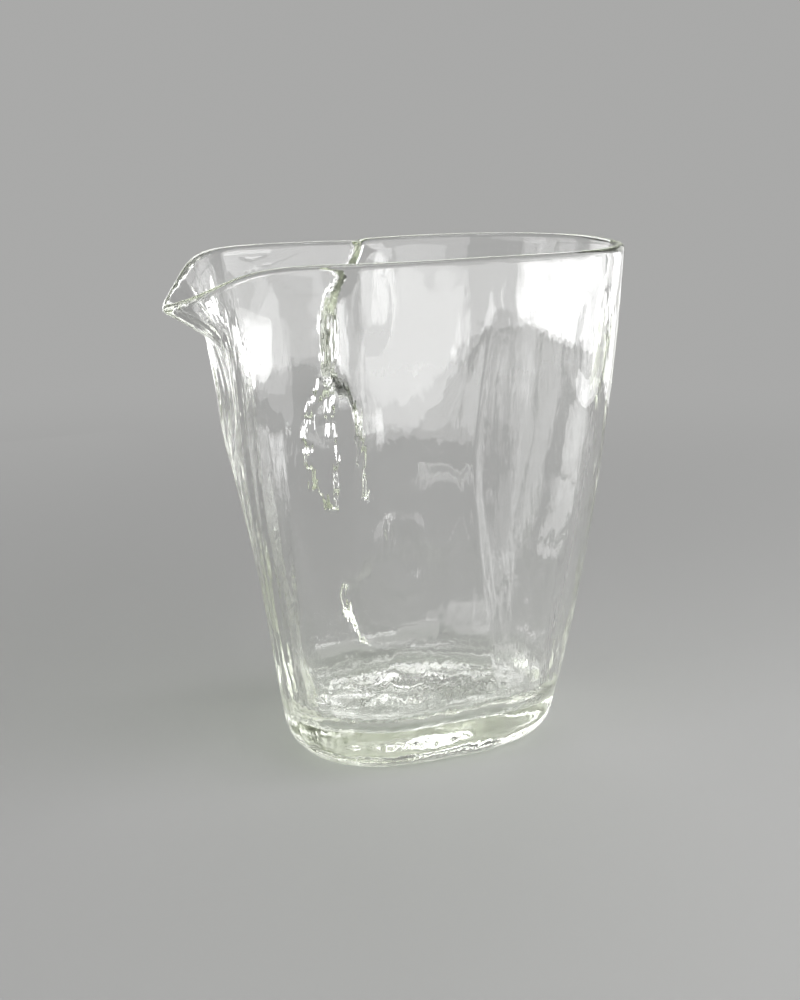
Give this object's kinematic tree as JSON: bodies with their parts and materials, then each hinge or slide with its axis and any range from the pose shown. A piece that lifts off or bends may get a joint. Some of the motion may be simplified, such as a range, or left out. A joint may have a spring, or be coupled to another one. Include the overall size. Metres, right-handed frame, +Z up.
{
  "type": "glass jug",
  "caption": "Small mouth-blown clear glass pouring jug: flaring pinched oval body, thick uneven base, fold pressed into the back wall and a short spout drawn out of one end of the rim.",
  "frame": {"origin": "middle of the foot, on the surface that the jug stands on", "axes": "+Z up out of the mouth, -X towards the spout, -Y towards the front wall with the thumb dent"},
  "size_m": [0.0957, 0.0617, 0.1011],
  "materials": {
    "clear_glass": "polished, slightly rippled, faint yellow-green where thick"
  },
  "bodies": {
    "root": {"glass_jug": "clear_glass"}
  },
  "joints": []
}
